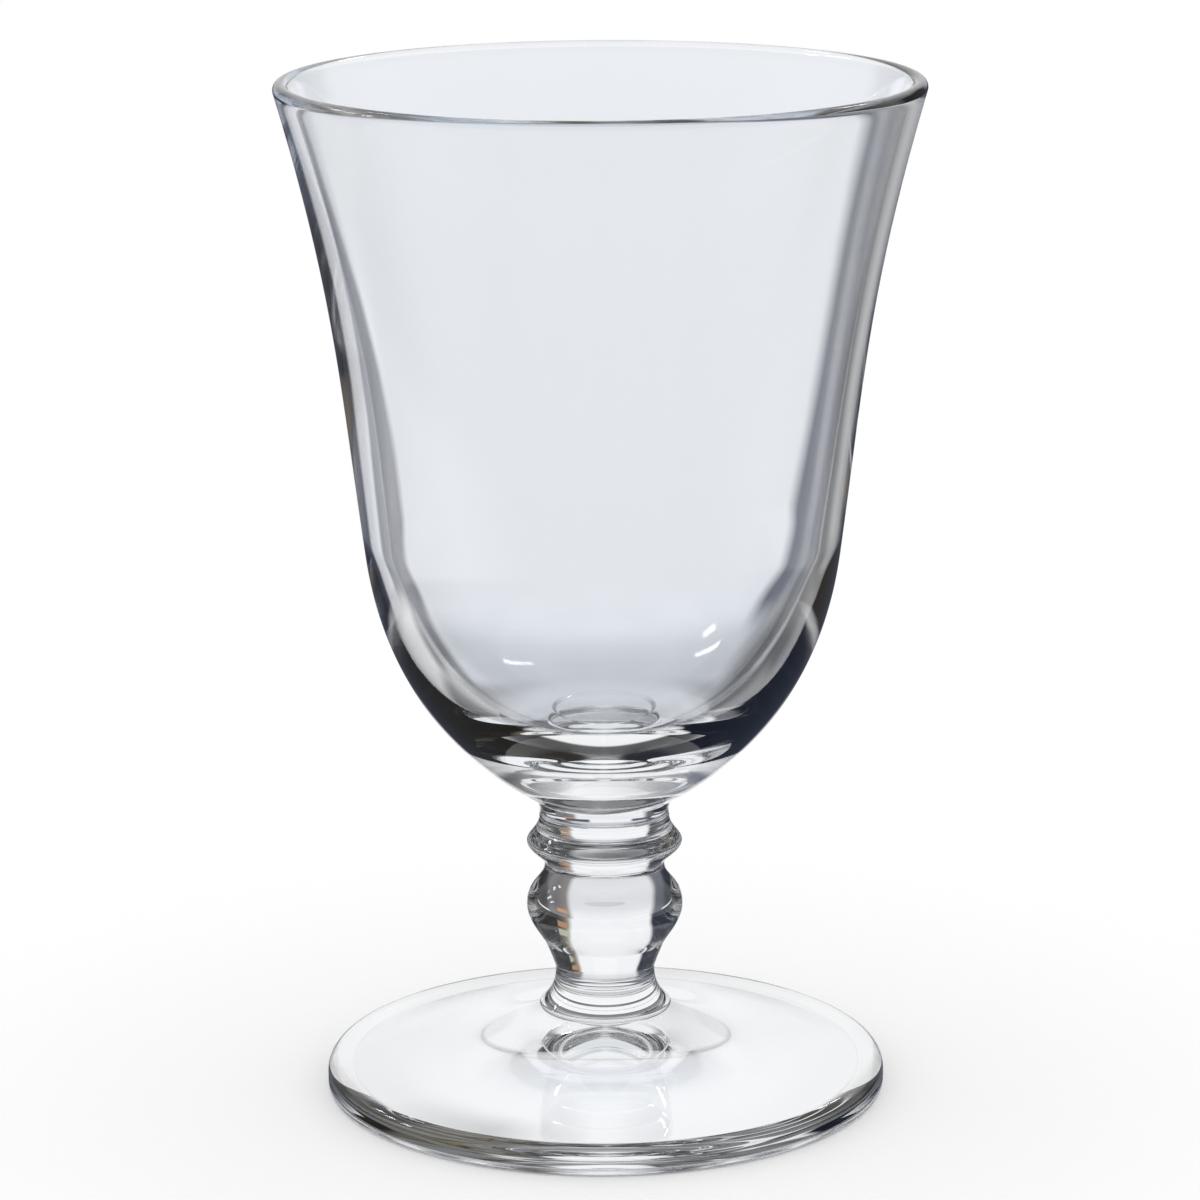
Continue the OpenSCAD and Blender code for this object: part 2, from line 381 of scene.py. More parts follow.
bowl = turned("bowl_glass", bowl_strokes, seals=[0], sideways=plunger)
settle(bowl, "bowl")

# %% [markdown]
# The floor is a plain white table top. It takes the soft light of the room, so it keeps the faint
# shadow of the glass, and further out it runs into plain white. A flat disc is enough, because nothing
# of it is seen but its colour.

# %% The floor
def disc(name, radii, around=96):
    """Rings of points (r cos a, r sin a, 0) for each radius and angle, and one point in the middle."""
    angles = np.arange(around) * 2 * np.pi / around
    flat = np.stack([np.outer(radii, np.cos(angles)), np.outer(radii, np.sin(angles))], -1)
    points = np.concatenate([np.pad(flat.reshape(-1, 2), ((0, 0), (0, 1))), np.zeros((1, 3))])
    grid = np.arange(len(radii) * around).reshape(len(radii), around)
    beside = np.roll(grid, -1, axis=1)
    quads = np.stack([grid[:-1], grid[1:], beside[1:], beside[:-1]], -1).reshape(-1, 4)
    middle = np.stack([np.full(around, len(points) - 1), grid[0], beside[0]], -1)
    mesh = bpy.data.meshes.new(name)
    mesh.from_pydata(points, [], quads.tolist() + middle.tolist())
    mesh.update()
    thing = bpy.data.objects.new(name, mesh)
    bpy.context.scene.collection.objects.link(thing)
    return thing


floor = disc("floor", np.array([0.03, 0.06, 0.12, 0.25, 0.5, 1.0, 2.0, 4.0]))
print("the floor is", round(floor.dimensions.x, 1), "m across")

# %% [markdown]
# Clear glass shows nothing of itself, only what stands around it, and each part of it shows another
# piece of the surroundings. Light that went straight through a wall, light that was mirrored inside the
# glass and light that was mirrored on its skin come from different places. Counting how often a ray has
# crossed a face and how often it was mirrored tells them apart, so that each can be given its own white
# sheet or dark card. Real light has one room for all of them. This is a painter's way to a known
# picture.

# %% Kinds of rays
MIRRORED_MORE_THAN = {
    "mirrored": 0.5,
    "thrice": 2.5,
    "fourth": 3.5,
    "often": 4.5,
    "edge": 6.5,
    "many": 11.5,
    "endless": 38.5,
}


def kinds(tree):
    """Masks of 0 or 1 from the counts of a ray's mirrorings and crossings."""
    path = add(tree, "ShaderNodeLightPath")
    mirrorings, crossings = path.outputs["Glossy Depth"], path.outputs["Transmission Depth"]
    bent_ray, mirrored_ray = path.outputs["Is Transmission Ray"], path.outputs["Is Glossy Ray"]
    masks = {name: sums(tree, "GREATER_THAN", mirrorings, n) for name, n in MIRRORED_MORE_THAN.items()}
    masks["once"] = sums(tree, "LESS_THAN", mirrorings, 1.5)
    masks["skin"] = sums(tree, "LESS_THAN", crossings, 0.5)
    masks["short"] = sums(tree, "LESS_THAN", crossings, 2.5)
    masks["long"] = sums(tree, "GREATER_THAN", crossings, 3.5)
    masks["in_glass"] = sums(tree, "MAXIMUM", bent_ray, mirrored_ray)
    return masks


print("kinds of rays by their mirrorings:", list(MIRRORED_MORE_THAN))

# %% [markdown]
# A ramp gives each direction or distance its shade, like a long cloth that is painted from end to end.
# A mask says where one cloth hangs before another. Blender has a node for each of these steps, and a
# helper for each node keeps the later cells short.

# %% Ramps, masks and mixes
DEGREE = 180 / math.pi
WHITE = (1, 1, 1, 1)


def bearing_of(tree, parts):
    """Degrees round the axis: 0 is behind the glass, 90 to its right and 180 towards the camera."""
    return sums(tree, "MULTIPLY", sums(tree, "ARCTAN2", parts.outputs["X"], parts.outputs["Y"]), DEGREE)


def ramp(tree, source, stops):
    """A colour ramp through stops of a place and a grey, or of a place and a colour."""
    low, high = stops[0][0], stops[-1][0]
    node = add(tree, "ShaderNodeValToRGB")
    steps = node.color_ramp.elements
    shades = [stop[1:] if len(stop) == 4 else stop[1:] * 3 for stop in stops]
    share = [(stop[0] - low) / (high - low) for stop in stops]
    steps[0].position, steps[0].color = 0, (*shades[0], 1)
    steps[1].position, steps[1].color = 1, (*shades[-1], 1)
    for at, shade in zip(share[1:-1], shades[1:-1]):
        steps.new(at).color = (*shade, 1)
    run = add(tree, "ShaderNodeMapRange")
    feed(tree, source, run.inputs["Value"])
    run.inputs["From Min"].default_value = low
    run.inputs["From Max"].default_value = high
    tree.links.new(run.outputs["Result"], node.inputs["Fac"])
    return node.outputs["Color"]


def mixed(tree, share, first, second, way="MIX"):
    """The first colour at a share of 0, the second at 1, or the first times the second."""
    node = add(tree, "ShaderNodeMix", data_type="RGBA", blend_type=way)
    feed(tree, share, node.inputs[0])
    feed(tree, first, node.inputs[6])
    feed(tree, second, node.inputs[7])
    return node.outputs[2]


def all_of(tree, mask, *others):
    """The product of several masks, which is 1 only where each of them is 1."""
    for other in others:
        mask = sums(tree, "MULTIPLY", mask, other)
    return mask


def band(tree, value, start, end, soft):
    """1 between start and end, and down to 0 over the soft width on both sides."""
    return all_of(tree, rise(tree, value, start - soft, start), rise(tree, value, end + soft, end))


def both(tree, first, second):
    """One colour times another."""
    return mixed(tree, 1.0, first, second, "MULTIPLY")


def either(tree, share, first, second):
    """The first shader at a share of 0, the second at 1, and a mix between."""
    node = add(tree, "ShaderNodeMixShader")
    feed(tree, share, node.inputs[0])
    tree.links.new(first, node.inputs[1])
    tree.links.new(second, node.inputs[2])
    return node.outputs[0]


def shine(tree, colour, strength=1.0):
    """A plain glow of that colour."""
    node = add(tree, "ShaderNodeEmission", Strength=strength)
    feed(tree, colour, node.inputs["Color"])
    return node.outputs[0]


print("degrees in a radian:", round(DEGREE, 3))

# %% [markdown]
# The table as the eye sees it is white cloth under soft light. Close to the glass it is lit and shaded
# like any surface. Beyond a hand's breadth it glows an even white, so that no horizon is left.

# %% The table as the eye sees it
table_white = bpy.data.materials.new("table_white")
table_white.use_nodes = True
tree = table_white.node_tree
tree.nodes.clear()
ray = kinds(tree)
where = add(tree, "ShaderNodeTexCoord").outputs["Object"]
across = add(tree, "ShaderNodeSeparateXYZ")
tree.links.new(where, across.inputs["Vector"])
away = add(tree, "ShaderNodeVectorMath", operation="LENGTH")
tree.links.new(where, away.inputs[0])
away = away.outputs["Value"]
bearing = bearing_of(tree, across)
turn = sums(tree, "ABSOLUTE", bearing)

LIT_TO, WHITE_FROM, LIFT = 0.05, 0.11, 0.10
lit = add(tree, "ShaderNodeAddShader")
cloth = add(tree, "ShaderNodeBsdfDiffuse", Color=(0.94, 0.94, 0.94, 1))
tree.links.new(cloth.outputs[0], lit.inputs[0])
tree.links.new(shine(tree, WHITE, LIFT), lit.inputs[1])
plain = either(tree, rise(tree, away, LIT_TO, WHITE_FROM), lit.outputs[0], shine(tree, WHITE))
print("nodes for the table as seen:", len(tree.nodes))

# %% [markdown]
# Straight through the stem, the table is white in a strip behind the glass, a little dimmer close to
# it, and dark to both sides, where the cards stand. Towards the other sides it is white again with two
# narrow cards, so that the stem is drawn when it is seen from there.

# %% The table straight through the stem
beside_strip = ramp(
    tree,
    bearing,
    [
        (-180, 0.98),
        (-164, 0.98),
        (-161, 0.14),
        (-154, 0.14),
        (-151, 0.98),
        (-84, 0.98),
        (-78, 0.02, 0.02, 0.03),
        (-50, 0.012, 0.015, 0.03),
        (-44, 0.04, 0.05, 0.08),
        (-38, 0.12, 0.135, 0.17),
        (-30, 0.15, 0.16, 0.20),
        (-25, 0.98, 0.985, 1.0),
        (16.5, 0.98, 0.985, 1.0),
        (19.5, 0.30, 0.275, 0.26),
        (27, 0.19, 0.18, 0.18),
        (34, 0.23, 0.22, 0.24),
        (39, 0.06, 0.06, 0.065),
        (46, 0.03, 0.03, 0.035),
        (52, 0.02, 0.018, 0.012),
        (78, 0.02),
        (84, 0.98),
        (151, 0.98),
        (154, 0.14),
        (161, 0.14),
        (164, 0.98),
        (180, 0.98),
    ],
)
along_strip = ramp(tree, away, [(0.028, 0.74), (0.045, 0.80), (0.060, 0.83), (0.10, 0.92), (0.20, 0.97)])
strip = both(tree, along_strip, beside_strip)
print("nodes with the strip behind the stem:", len(tree.nodes))

# %% [markdown]
# Over its front lip, the bowl is looked through by one wall only, far out onto the table. The cards
# there are narrow, so that the bowl's mouth stays clear from most sides. The room behind takes the same
# stops, and no edge shows where the table ends.

# %% The far table through one wall
FAR_SHEET = [
    (-180, 0.97),
    (-40, 0.97),
    (-37, 0.15),
    (-30, 0.15),
    (-25, 0.98),
    (16.5, 0.98),
    (19.5, 0.28),
    (35, 0.20),
    (38, 0.97),
    (180, 0.97),
]
strip = mixed(tree, rise(tree, away, 0.22, 0.28), strip, ramp(tree, bearing, FAR_SHEET))
print("stops of the far sheet:", len(FAR_SHEET))

# %% [markdown]
# Through both walls of the bowl, the strip is the same but dimmer and a little blue. Halfway to each
# side it is white once more, for the view from there. Close to the glass, where the heel looks, it
# fades to the sides and has no hard edge.

# %% The table through both walls
far_strip = ramp(
    tree,
    bearing,
    [
        (-180, 0.96),
        (-74, 0.96),
        (-62, 0.07),
        (-54, 0.07),
        (-51, 0.95),
        (-40, 0.95),
        (-37, 0.06, 0.065, 0.09),
        (-35, 0.06, 0.065, 0.09),
        (-31, 0.22),
        (-27, 1.0),
        (19, 1.0),
        (23, 0.45),
        (27, 0.07),
        (37, 0.07),
        (40, 0.95),
        (51, 0.95),
        (54, 0.07),
        (58, 0.07),
        (70, 0.96),
        (180, 0.96),
    ],
)
dim = ramp(
    tree,
    away,
    [
        (0.028, 0.62, 0.64, 0.68),
        (0.034, 0.66, 0.68, 0.72),
        (0.046, 0.66, 0.68, 0.72),
        (0.055, 0.62, 0.64, 0.68),
        (0.075, 0.65, 0.67, 0.71),
        (0.105, 0.79, 0.81, 0.85),
        (0.14, 0.88, 0.90, 0.94),
    ],
)
heel_strip = ramp(
    tree,
    bearing,
    [
        (-180, 0.90),
        (-84, 0.90),
        (-70, 0.10),
        (-36, 0.12),
        (-25, 0.36),
        (-15, 0.74),
        (-5, 1.0),
        (8, 1.0),
        (15, 0.72),
        (24, 0.40),
        (34, 0.12),
        (70, 0.10),
        (84, 0.90),
        (180, 0.90),
    ],
)
heel_strip = mixed(tree, rise(tree, away, 0.062, 0.050), far_strip, heel_strip)
strip = mixed(tree, ray["long"], strip, both(tree, dim, heel_strip))
print("nodes with the strip through both walls:", len(tree.nodes))

# %% [markdown]
# Right under the foot the table is white all round, with painted shade that makes it a little greyer in
# the middle and near the rim, where the glass stands on it. Down through the whole stem, only a grey
# strip of it is left, with a white spot on the axis and painted shade out towards the rim.

# %% The table under the foot
# Painted shade on the table near the foot's rim, darkest behind the glass and to the front left.
rim_shade = ramp(
    tree,
    bearing,
    [
        (-180, 0.97),
        (-166, 0.92),
        (-152, 0.60),
        (-138, 0.72),
        (-120, 0.90),
        (-60, 0.96),
        (-30, 0.82),
        (0, 0.70),
        (14, 0.72),
        (30, 0.84),
        (60, 0.95),
        (150, 0.96),
        (180, 0.97),
    ],
)
# Painted shade under the middle of the foot.
under = mixed(tree, rise(tree, away, 0.004, 0.014), (0.88, 0.90, 0.93, 1), (0.985, 0.99, 1.0, 1))
under = mixed(tree, rise(tree, away, 0.017, 0.023), under, rim_shade)
stem_strip = ramp(
    tree,
    bearing,
    [
        (-180, 0.75),
        (-95, 0.75),
        (-80, 0.04),
        (-28, 0.04),
        (-21, 0.30),
        (-12, 0.30),
        (0, 0.42),
        (6, 0.70),
        (13, 0.70),
        (18, 0.06),
        (80, 0.04),
        (95, 0.75),
        (180, 0.75),
    ],
)
# Painted shade where the foot's rim stands on the table.
contact_shade = ramp(tree, away, [(0.0, 1.0), (0.021, 1.0), (0.026, 0.3), (0.03, 0.3)])
stem_strip = both(tree, stem_strip, mixed(tree, rise(tree, turn, 80, 95), contact_shade, WHITE))
stem_strip = mixed(tree, rise(tree, away, 0.016, 0.011), stem_strip, WHITE)
under = mixed(tree, ray["long"], under, stem_strip)
FOOT_END = (0.0275, 0.0295)
past_foot = rise(tree, away, *FOOT_END)
straight = mixed(tree, past_foot, under, strip)
print("nodes with the table under the foot:", len(tree.nodes))

# %% [markdown]
# A small warm card lies on the table behind the glass, to the right. The knop is a lens and shows it on
# its left, as a brown speck.

# %% The warm card on the table
WARM_TABLE = (0.60, 0.31, 0.16, 1)
warm = all_of(tree, band(tree, bearing, 20, 27, 1), band(tree, away, 0.095, 0.15, 0.01), ray["short"])
straight = mixed(tree, warm, straight, WARM_TABLE)
print("nodes for the table with the straight light:", len(tree.nodes))

# %% [markdown]
# Light mirrored inside the glass finds the table in other places. In the heel of the bowl it draws the
# pale bands to the sides. One ramp serves the table near the foot, and one the table further out.

# %% The table mirrored in the heel
near_side = ramp(
    tree,
    bearing,
    [
        (-180, 0.50),
        (-68, 0.80),
        (-58, 0.60),
        (-50, 0.38),
        (-33, 0.30),
        (-22, 0.85),
        (-10, 1.0),
        (14, 1.0),
        (22, 0.92),
        (31, 0.72),
        (41, 0.52),
        (50, 0.40),
        (58, 0.22),
        (70, 0.22),
        (180, 0.50),
    ],
)
far_side = ramp(
    tree,
    bearing,
    [
        (-180, 0.40),
        (-70, 0.30),
        (-60, 0.36),
        (-53, 0.95),
        (-12, 1.0),
        (20, 1.0),
        (31, 0.72),
        (40, 0.40),
        (48, 0.20),
        (60, 0.16),
        (180, 0.40),
    ],
)
bent = mixed(tree, rise(tree, away, 0.050, 0.062), near_side, far_side)
print("nodes with the table mirrored in the heel:", len(tree.nodes))

# %% [markdown]
# The foot's hollow mirrors the table under the foot, and there the table carries painted shade. To the
# sides the painted shade is a dark ring with a bright middle, towards the camera its rings are finer, and
# behind the glass it is dark with one bright strip. For light that was mirrored twice on the camera's
# side, or three times behind the glass, the table is painted dimmer still.

# %% The table mirrored in the foot
# Painted shade of the table under the foot: a dark ring round a bright middle.
hollow = ramp(
    tree,
    away,
    [
        (0.0, 0.95),
        (0.005, 0.95),
        (0.008, 0.17, 0.18, 0.20),
        (0.020, 0.22, 0.23, 0.25),
        (0.023, 0.88),
        (0.03, 0.88),
    ],
)
# Painted shade seen towards the camera, in finer rings.
back = ramp(
    tree,
    away,
    [
        (0.0, 0.95),
        (0.0025, 0.95),
        (0.004, 0.10),
        (0.0095, 0.10),
        (0.0105, 0.85),
        (0.013, 0.85),
        (0.018, 0.30),
        (0.023, 0.80),
        (0.03, 0.80),
    ],
)
middle = ramp(tree, away, [(0.0, 0.45), (0.004, 0.45), (0.007, 1.0), (0.03, 1.0)])
hollow = mixed(tree, rise(tree, turn, 150, 160), hollow, back)
# Painted shade behind the glass, to both sides of the bright strip.
hollow = mixed(tree, rise(tree, turn, 70, 58), hollow, (0.18, 0.19, 0.21, 1))
hollow = mixed(tree, rise(tree, turn, 26, 19), hollow, middle)
bent = mixed(tree, past_foot, hollow, bent)
# The table painted dimmer still for light mirrored twice on the camera's side, and three times behind the
# glass.
twice = all_of(tree, rise(tree, turn, 110, 130), rise(tree, away, 0.040, 0.034))
twice = sums(tree, "SUBTRACT", twice, ray["once"])
bent = mixed(tree, sums(tree, "MAXIMUM", twice, 0.0), bent, (0.07, 0.075, 0.09, 1))
thrice = all_of(tree, ray["thrice"], rise(tree, turn, 50, 40), band(tree, away, 0.027, 0.044, 0.003))
bent = mixed(tree, thrice, bent, (0.20, 0.21, 0.24, 1))
print("nodes with the table mirrored in the foot:", len(tree.nodes))

# %% [markdown]
# For light that was led round the glass many times, the table is painted in deep shade, nearly black,
# navy from one side and olive from the other, which gives the heel and the foot's edge their dark line.
# The skin of the glass mirrors a white table straight behind it and a dark one to the sides.

# %% The table led round the glass and on its skin
# Painted deep shade of the table, nearly black, for light led round the glass many times.
led_round = ramp(
    tree,
    bearing,
    [
        (-180, 0.20),
        (-174, 0.20),
        (-164, 0.012, 0.016, 0.03),
        (-18, 0.012, 0.016, 0.03),
        (-10, 0.22),
        (10, 0.22),
        (18, 0.03, 0.026, 0.014),
        (164, 0.03, 0.026, 0.014),
        (174, 0.20),
        (180, 0.20),
    ],
)
bent = mixed(tree, ray["often"], bent, led_round)
on_skin = ramp(tree, turn, [(0, 0.9), (19, 0.9), (25, 0.06, 0.07, 0.10), (180, 0.06, 0.07, 0.10)])
bent = mixed(tree, ray["skin"], bent, on_skin)
print("nodes for the table with the mirrored light:", len(tree.nodes))

# %% [markdown]
# The parts are put together: the eye sees the plain table, and the glass sees its own one. A hand's
# breadth out the table ends for the glass, and the room shows instead, as it would on a small table.
# Only straight through one wall it reaches further. From below, the table is clear, so that the
# underside of the foot can be looked at.

# %% The table put together
TABLE_END, FAR_TABLE_END = (0.12, 0.09), (0.6, 0.4)
unmirrored = sums(tree, "SUBTRACT", 1.0, ray["mirrored"])
far = all_of(tree, ray["short"], unmirrored, rise(tree, away, *FAR_TABLE_END))
near = sums(tree, "MAXIMUM", rise(tree, away, *TABLE_END), far)
gone = add(tree, "ShaderNodeBsdfTransparent").outputs[0]
through = either(tree, near, gone, shine(tree, mixed(tree, ray["mirrored"], straight, bent)))
table = either(tree, ray["in_glass"], plain, through)
behind = add(tree, "ShaderNodeNewGeometry").outputs["Backfacing"]
out = add(tree, "ShaderNodeOutputMaterial")
tree.links.new(either(tree, behind, table, gone), out.inputs["Surface"])
floor.data.materials.append(table_white)
print("nodes in the table:", len(tree.nodes))

# %% [markdown]
# The room is a white sheet behind the glass with dark cards to its sides: the sheet fills the middle of
# each curve, and the cards draw the dark lines along its edges. Through both walls of the bowl the
# cards stand every 45 degrees round the table, so that the bowl is drawn in the same way from each of
# those sides.

# %% The room through both walls
world = bpy.data.worlds.new("room")
bpy.context.scene.world = world
world.use_nodes = True
tree = world.node_tree
tree.nodes.clear()
ray = kinds(tree)
parts = add(tree, "ShaderNodeSeparateXYZ")
tree.links.new(add(tree, "ShaderNodeTexCoord").outputs["Generated"], parts.inputs["Vector"])
bearing = bearing_of(tree, parts)
turn = sums(tree, "ABSOLUTE", bearing)
climb = sums(tree, "MULTIPLY", sums(tree, "ARCSINE", parts.outputs["Z"]), DEGREE)


def within_turn(tree, angle, period):
    """The angle in degrees, counted from 0 to the period and then again from 0."""
    return sums(tree, "MULTIPLY", sums(tree, "FRACT", sums(tree, "DIVIDE", angle, period)), period)


EVERY = 45
two_walls = ramp(
    tree,
    climb,
    [
        (-90, 0.98, 0.985, 1.00),
        (-60, 0.80, 0.82, 0.86),
        (-40, 0.76, 0.79, 0.84),
        (-26, 0.88, 0.90, 0.94),
        (-16, 0.95, 0.965, 0.985),
        (-6, 1.0),
        (90, 0.90),
    ],
)
cards = ramp(
    tree,
    within_turn(tree, bearing, EVERY),
    [(0, 1.0), (8.2, 1.0), (10.2, 0.09, 0.10, 0.14), (26, 0.09, 0.10, 0.14), (28.5, 1.0), (45, 1.0)],
)
through_both = both(tree, two_walls, cards)
print("nodes with the room through both walls:", len(tree.nodes))

# %% [markdown]
# The stem turns light much further than a wall does, and for it the sheet is one wide field that grows
# wider upwards, as a hung cloth does. A single wall shows it in a cool white. Low down, the far sheet
# of the table goes on.

# %% The room through one wall or the stem
one_wall = ramp(
    tree,
    climb,
    [
        (-90, 0.60, 0.65, 0.76),
        (-45, 0.66, 0.71, 0.81),
        (-28, 0.75, 0.80, 0.88),
        (-19, 0.87, 0.90, 0.95),
        (-11, 0.915, 0.935, 0.97),
        (-3, 0.95, 0.96, 0.985),
        (4, 1.0),
        (30, 1.0),
        (90, 0.80, 0.82, 0.85),
    ],
)
WIDENS_FROM, WIDENS_BY = 6.0, 0.008
steep = sums(tree, "MAXIMUM", sums(tree, "SUBTRACT", climb, WIDENS_FROM), 0.0)
narrowed = sums(tree, "SUBTRACT", 1.0, sums(tree, "MULTIPLY", steep, WIDENS_BY))
sides = ramp(
    tree,
    sums(tree, "MULTIPLY", bearing, narrowed),
    [
        (-180, 1.0),
        (-164, 1.0),
        (-161, 0.12),
        (-154, 0.12),
        (-151, 1.0),
        (-119, 1.0),
        (-116, 0.12),
        (-109, 0.12),
        (-106, 1.0),
        (-70, 1.0),
        (-62, 0.012, 0.016, 0.03),
        (-29.5, 0.025, 0.03, 0.05),
        (-26.5, 1.0),
        (18.5, 1.0),
        (21.5, 0.30, 0.27, 0.25),
        (24, 0.17, 0.13, 0.09),
        (28, 0.04, 0.04, 0.04),
        (31, 0.025, 0.025, 0.025),
        (62, 0.02, 0.018, 0.012),
        (70, 1.0),
        (106, 1.0),
        (109, 0.12),
        (116, 0.12),
        (119, 1.0),
        (151, 1.0),
        (154, 0.12),
        (161, 0.12),
        (164, 1.0),
        (180, 1.0),
    ],
)
sides = mixed(tree, rise(tree, climb, -6, -9), sides, ramp(tree, bearing, FAR_SHEET))
share = sums(tree, "MAXIMUM", ray["short"], rise(tree, climb, -7, -3))
straight = mixed(tree, share, through_both, both(tree, one_wall, sides))
print("nodes with the room through one wall:", len(tree.nodes))

# %% [markdown]
# Two small cards, a warm one and above it a pale one, stand at the sheet's right edge. The knop shows
# them on its left, as the one on the table.

# %% The two small cards
WARM_CARD, PALE_CARD = (0.46, 0.27, 0.16, 1), (0.48, 0.52, 0.38, 1)
beside_sheet = all_of(tree, band(tree, bearing, 22, 29, 1), ray["short"])
warm = all_of(tree, beside_sheet, band(tree, climb, 4, 9.5, 1))
straight = mixed(tree, warm, straight, WARM_CARD)
pale = all_of(tree, beside_sheet, band(tree, climb, 13, 17, 1))
straight = mixed(tree, pale, straight, PALE_CARD)
print("nodes for the room with the straight light:", len(tree.nodes))

# %% [markdown]
# Light mirrored once inside a wall leaves at other angles, and comes from further down or further up
# than the straight light beside it. Each height of the room gets one ramp over the bearing. The lowest
# are the deep room and the low cards that draw the second line in the bowl's sides.

# %% The low room mirrored once
deep = ramp(
    tree,
    bearing,
    [(-180, 0.15), (-60, 0.12), (-30, 0.30), (0, 0.35), (30, 0.25), (60, 0.12), (180, 0.15)],
)
low = ramp(
    tree,
    bearing,
    [
        (-180, 0.50),
        (-110, 0.85),
        (-54, 0.85),
        (-46, 0.26, 0.27, 0.31),
        (-37, 0.26, 0.27, 0.31),
        (-34.5, 0.92, 0.93, 0.96),
        (-22, 0.92, 0.93, 0.96),
        (-18, 0.07, 0.08, 0.12),
        (-8, 0.07, 0.08, 0.12),
        (0, 0.26),
        (8, 0.30),
        (14, 0.40),
        (18, 0.66),
        (26, 0.62),
        (31, 0.44),
        (35, 0.22),
        (46, 0.20),
        (54, 0.75),
        (110, 0.85),
        (180, 0.50),
    ],
)
lower = mixed(tree, rise(tree, climb, -28, -24), deep, low)
print("nodes with the low room mirrored once:", len(tree.nodes))

# %% [markdown]
# Above them follow the sheet at eye level, the sheet higher up, which fades to both sides, and the
# bright ceiling.

# %% The sheet and the ceiling mirrored once
level = ramp(
    tree,
    bearing,
    [
        (-180, 0.10, 0.10, 0.11),
        (-150, 0.08),
        (-142, 0.008, 0.01, 0.014),
        (-70, 0.012, 0.015, 0.022),
        (-52, 0.08, 0.09, 0.12),
        (-42, 0.20, 0.21, 0.25),
        (-34, 0.26, 0.27, 0.31),
        (-30, 1.0),
        (21, 1.0),
        (28, 0.34, 0.33, 0.31),
        (36, 0.16, 0.15, 0.13),
        (52, 0.08, 0.07, 0.05),
        (70, 0.014, 0.013, 0.01),
        (142, 0.009, 0.008, 0.006),
        (150, 0.08),
        (180, 0.10, 0.10, 0.11),
    ],
)
upper = ramp(
    tree,
    bearing,
    [
        (-180, 0.10, 0.10, 0.11),
        (-150, 0.08),
        (-142, 0.008, 0.01, 0.014),
        (-70, 0.012, 0.015, 0.022),
        (-50, 0.08, 0.09, 0.12),
        (-38, 0.20, 0.22, 0.26),
        (-28, 0.30, 0.32, 0.36),
        (-18, 0.38),
        (-8, 0.77),
        (0, 0.91),
        (9, 0.95),
        (15, 0.54),
        (24, 0.28),
        (36, 0.14),
        (52, 0.08),
        (70, 0.014, 0.013, 0.01),
        (142, 0.009, 0.008, 0.006),
        (150, 0.08),
        (180, 0.10, 0.10, 0.11),
    ],
)
ceiling = ramp(
    tree,
    bearing,
    [
        (-180, 0.40),
        (-152, 0.12),
        (-132, 0.30),
        (-115, 0.75),
        (-70, 0.60),
        (-48, 0.95),
        (48, 0.95),
        (70, 0.60),
        (115, 0.75),
        (132, 0.30),
        (152, 0.12),
        (180, 0.40),
    ],
)
bent = mixed(tree, rise(tree, climb, -13, -8), lower, level)
bent = mixed(tree, rise(tree, climb, 8, 13), bent, upper)
bent = mixed(tree, rise(tree, climb, 33, 42), bent, ceiling)
print("nodes for the room mirrored once:", len(tree.nodes))

# %% [markdown]
# Light mirrored two to four times makes the heel's bright band. What was mirrored four times and comes
# from high up makes the dark one below it. Right overhead the ceiling is an even pale grey.

# %% The room mirrored two to four times
again = ramp(
    tree,
    bearing,
    [
        (-180, 0.90),
        (-174, 0.90),
        (-168, 0.14),
        (-150, 0.10),
        (-142, 0.01),
        (-95, 0.04),
        (-80, 0.70),
        (-72, 0.95),
        (-58, 0.95),
        (-50, 0.35),
        (-40, 0.30),
        (-32, 0.85),
        (-28, 1.0),
        (28, 1.0),
        (34, 0.50),
        (45, 0.25),
        (55, 0.45),
        (62, 0.85),
        (72, 0.85),
        (82, 0.40),
        (95, 0.04),
        (142, 0.01),
        (150, 0.10),
        (168, 0.14),
        (174, 0.90),
        (180, 0.90),
    ],
)
band_below = ramp(
    tree,
    bearing,
    [
        (-180, 0.75),
        (-120, 0.70),
        (-60, 0.80),
        (-45, 0.15),
        (-30, 0.05),
        (-20, 0.06),
        (-8, 0.10),
        (8, 0.10),
        (20, 0.06),
        (30, 0.05),
        (45, 0.15),
        (60, 0.80),
        (120, 0.70),
        (180, 0.75),
    ],
)
again = mixed(tree, rise(tree, climb, -9, -5), lower, again)
again = mixed(tree, rise(tree, climb, 33, 42), again, ceiling)
four_times = all_of(tree, ray["fourth"], rise(tree, climb, 28, 30.5))
again = mixed(tree, four_times, again, band_below)
bent = mixed(tree, ray["once"], again, bent)
bent = mixed(tree, rise(tree, climb, 58, 68), bent, (0.78, 0.79, 0.80, 1))
print("nodes with the room mirrored up to four times:", len(tree.nodes))

# %% [markdown]
# Light led round more often fills the heel and the foot's edge with near black, navy from one side and
# olive from the other, with a few bright stripes behind the glass. High up it is darkest, apart from
# what comes down after a dozen turns. A brown card on the right colours the foot's edge. In the lip
# some light runs round nearly without end and comes out pale blue.

